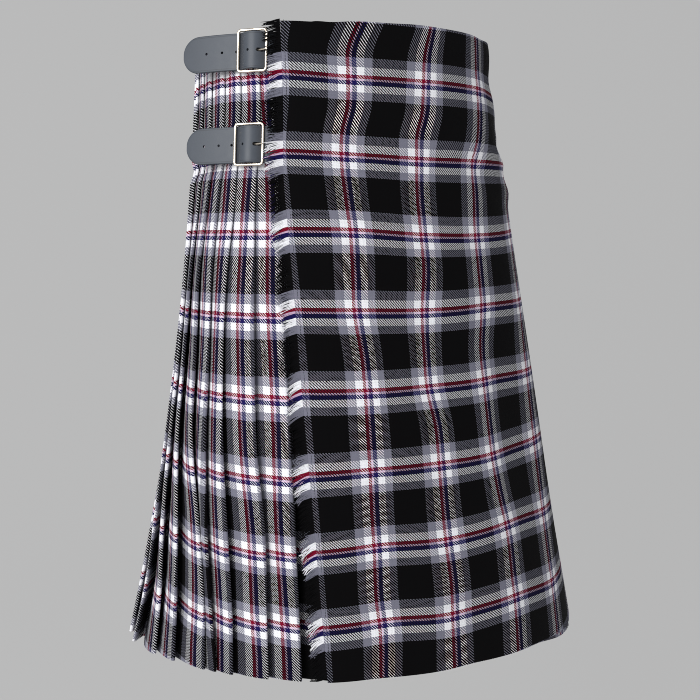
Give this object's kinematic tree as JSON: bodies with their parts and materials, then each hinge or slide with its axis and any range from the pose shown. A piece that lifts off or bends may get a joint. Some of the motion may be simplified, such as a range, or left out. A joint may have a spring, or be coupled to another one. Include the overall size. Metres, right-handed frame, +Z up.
{
  "type": "knife-pleated scottish kilt, worn form",
  "caption": "Knee-length wrap kilt in checked twill, held open in its worn shape: flat fringed apron in front, knife pleats round the back, leather straps and buckles at the hips.",
  "frame": {"origin": "centre of the waist opening, level with the rim, where the wearer's waist holds the kilt", "axes": "+Z up, the wearer faces -Y, and the wearer's right side is at -X"},
  "size_m": [0.4948, 0.4098, 0.6],
  "materials": {
    "tartan_cloth": "matte wool-like twill in a black, grey, white, red and navy check",
    "fringe_yarn": "matte loose yarn",
    "strap_leather": "smooth slate-grey leather, half gloss",
    "buckle_nickel": "polished nickel plate, a little warm"
  },
  "bodies": {
    "root": {"over_apron": "tartan_cloth", "pleats_left": "tartan_cloth", "pleats_right": "tartan_cloth", "under_apron": "tartan_cloth", "apron_fringe": "fringe_yarn", "strap_upper": "strap_leather", "tab_upper": "strap_leather", "buckle_upper": "buckle_nickel", "prong_upper": "buckle_nickel", "strap_lower": "strap_leather", "tab_lower": "strap_leather", "buckle_lower": "buckle_nickel", "prong_lower": "buckle_nickel", "strap_left": "strap_leather", "tab_left": "strap_leather", "buckle_left": "buckle_nickel", "prong_left": "buckle_nickel"}
  },
  "joints": []
}
